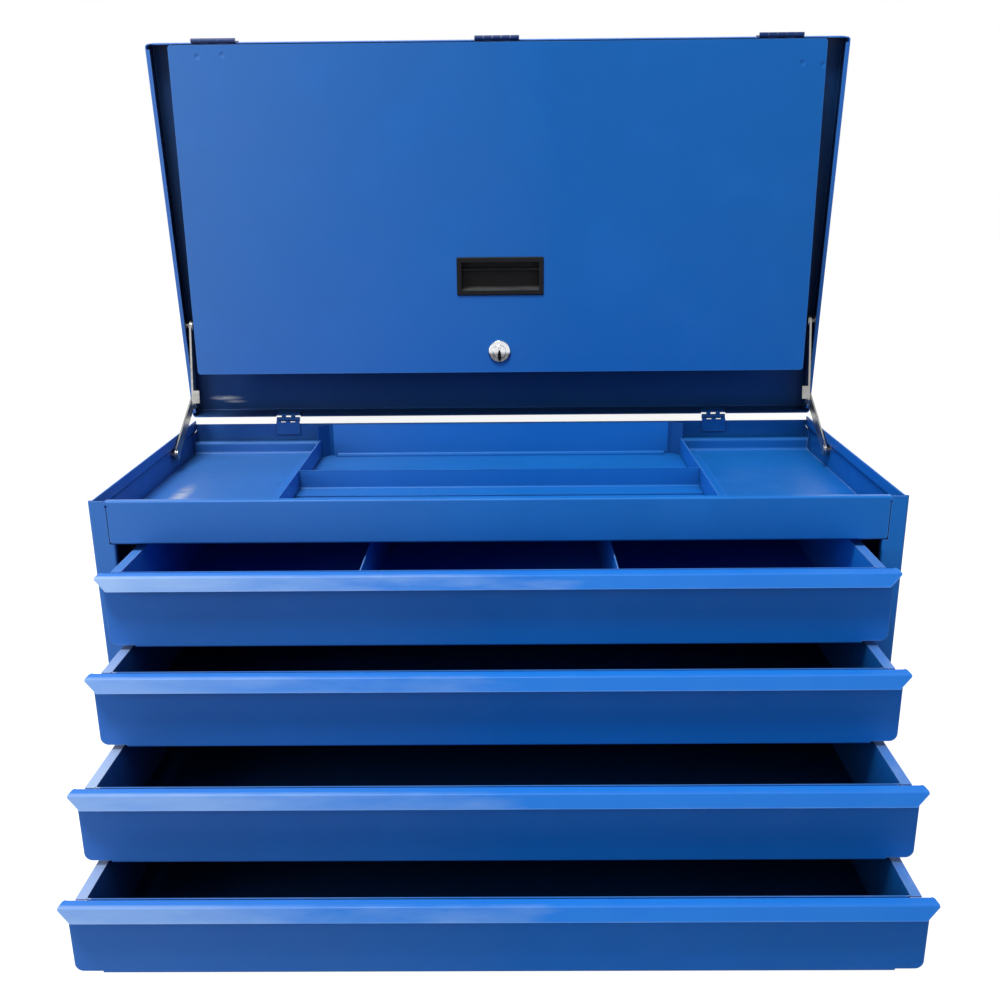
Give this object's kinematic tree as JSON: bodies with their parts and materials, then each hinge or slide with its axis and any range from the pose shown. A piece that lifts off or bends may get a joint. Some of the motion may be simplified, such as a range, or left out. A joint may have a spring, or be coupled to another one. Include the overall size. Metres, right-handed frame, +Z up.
{
  "type": "tool box",
  "caption": "Portable steel tool box: staggered drawers under an open divided tray, a stayed lid and a hinged front flap with a pull and a lock.",
  "frame": {"origin": "centre of the base, on the surface that the box stands on", "axes": "+X to the right as seen from the front, +Y to the back, +Z up"},
  "size_m": [0.6832, 0.6207, 0.6715],
  "materials": {
    "blue_paint": "satin enamel",
    "zinc_steel": "bright zinc plate",
    "chrome": "polished",
    "black_plastic": "fine texture"
  },
  "bodies": {
    "cabinet": {"side_panel_left": "blue_paint", "side_panel_right": "blue_paint", "back_panel": "blue_paint", "bottom_panel": "blue_paint", "top_rail": "blue_paint", "tray_floor": "blue_paint", "tray_divider_left": "blue_paint", "tray_divider_right": "blue_paint", "tray_cross_divider": "blue_paint", "tray_back_plate": "blue_paint", "slide_carriers_left": "blue_paint", "slide_carriers_right": "blue_paint", "drawer_rail_left_1": "blue_paint", "drawer_rail_right_1": "blue_paint", "drawer_rail_left_2": "blue_paint", "drawer_rail_right_2": "blue_paint", "drawer_rail_left_3": "blue_paint", "drawer_rail_right_3": "blue_paint", "drawer_rail_left_4": "blue_paint", "drawer_rail_right_4": "blue_paint", "lid_hinge_body_leaf_left": "blue_paint", "lid_hinge_body_leaf_right": "blue_paint", "lid_hinge_pins": "zinc_steel", "handle_brackets_left": "zinc_steel", "handle_brackets_right": "zinc_steel", "stay_cabinet_rivets": "zinc_steel"},
    "lid": {"lid_shell": "blue_paint", "lid_hinge_lid_leaf_left": "blue_paint", "lid_hinge_lid_leaf_right": "blue_paint", "flap_hinge_lid_leaves": "blue_paint", "stay_lid_studs": "zinc_steel"},
    "flap_pins": {"flap_hinge_pins": "zinc_steel"},
    "flap": {"flap_panel": "blue_paint", "flap_hinge_flap_leaves": "blue_paint", "flap_handle": "black_plastic", "lock_housing": "chrome", "lock_nut": "zinc_steel"},
    "lock": {"lock_plug": "chrome", "lock_cam": "zinc_steel", "lock_cam_screw": "zinc_steel"},
    "drawer_1": {"drawer_1_tray": "blue_paint", "drawer_1_front": "blue_paint", "drawer_1_divider_left": "blue_paint", "drawer_1_divider_right": "blue_paint"},
    "drawer_2": {"drawer_2_tray": "blue_paint", "drawer_2_front": "blue_paint"},
    "drawer_3": {"drawer_3_tray": "blue_paint", "drawer_3_front": "blue_paint"},
    "drawer_4": {"drawer_4_tray": "blue_paint", "drawer_4_front": "blue_paint"},
    "stay_lower_left": {"stay_lower_link_left": "zinc_steel", "stay_elbow_rivet_left": "zinc_steel"},
    "stay_upper_left": {"stay_upper_link_left": "zinc_steel"},
    "handle_left": {"side_handle_left": "zinc_steel"},
    "stay_lower_right": {"stay_lower_link_right": "zinc_steel", "stay_elbow_rivet_right": "zinc_steel"},
    "stay_upper_right": {"stay_upper_link_right": "zinc_steel"},
    "handle_right": {"side_handle_right": "zinc_steel"}
  },
  "joints": [
    {"name": "lid_hinge", "type": "hinge", "parent": "cabinet", "child": "lid", "pos_m": [0, 0.1826, 0.3075], "axis": [-1, 0, 0], "range_deg": [-82.6, 0]},
    {"name": "flap_pins_turn", "type": "hinge", "parent": "lid", "child": "flap_pins", "pos_m": [0, 0.1386, 0.66955], "axis": [1, 0, 0], "range_deg": [0, 7.5]},
    {"name": "flap_hinge", "type": "hinge", "parent": "flap_pins", "child": "flap", "pos_m": [0, 0.1386, 0.66955], "axis": [1, 0, 0], "range_deg": [-90, 7]},
    {"name": "lock_turn", "type": "hinge", "parent": "flap", "child": "lock", "pos_m": [0, 0.1386, 0.38255], "axis": [0, -1, 0], "range_deg": [-90, 0]},
    {"name": "drawer_1_slide", "type": "slide", "parent": "cabinet", "child": "drawer_1", "axis": [0, -1, 0], "range_m": [-0.0762, 0.1858]},
    {"name": "drawer_2_slide", "type": "slide", "parent": "cabinet", "child": "drawer_2", "axis": [0, -1, 0], "range_m": [-0.1249, 0.1371]},
    {"name": "drawer_3_slide", "type": "slide", "parent": "cabinet", "child": "drawer_3", "axis": [0, -1, 0], "range_m": [-0.1899, 0.0721]},
    {"name": "drawer_4_slide", "type": "slide", "parent": "cabinet", "child": "drawer_4", "axis": [0, -1, 0], "range_m": [-0.237, 0.025]},
    {"name": "stay_lower_left_turn", "type": "hinge", "parent": "cabinet", "child": "stay_lower_left", "pos_m": [0, 0.082, 0.291], "axis": [1, 0, 0], "range_deg": [-3.59, 0.1]},
    {"name": "stay_upper_left_turn", "type": "hinge", "parent": "stay_lower_left", "child": "stay_upper_left", "pos_m": [0, 0.16295, 0.32798], "axis": [1, 0, 0], "range_deg": [-0.1, 109.88]},
    {"name": "handle_left_swing", "type": "hinge", "parent": "cabinet", "child": "handle_left", "pos_m": [-0.336, 0, 0.206], "axis": [0, 1, 0], "range_deg": [0, 95]},
    {"name": "stay_lower_right_turn", "type": "hinge", "parent": "cabinet", "child": "stay_lower_right", "pos_m": [0, 0.082, 0.291], "axis": [1, 0, 0], "range_deg": [-3.59, 0.1]},
    {"name": "stay_upper_right_turn", "type": "hinge", "parent": "stay_lower_right", "child": "stay_upper_right", "pos_m": [0, 0.16295, 0.32798], "axis": [1, 0, 0], "range_deg": [-0.1, 109.88]},
    {"name": "handle_right_swing", "type": "hinge", "parent": "cabinet", "child": "handle_right", "pos_m": [0.336, 0, 0.206], "axis": [0, -1, 0], "range_deg": [0, 95]}
  ],
  "couplings": [
    {"joint": "flap_pins_turn", "follows": "lid_hinge", "ratio": -0.089588},
    {"joint": "stay_lower_left_turn", "follows": "lid_hinge", "ratio": 0.04222},
    {"joint": "stay_upper_left_turn", "follows": "lid_hinge", "ratio": -1.3291},
    {"joint": "stay_lower_right_turn", "follows": "lid_hinge", "ratio": 0.04222},
    {"joint": "stay_upper_right_turn", "follows": "lid_hinge", "ratio": -1.3291}
  ]
}
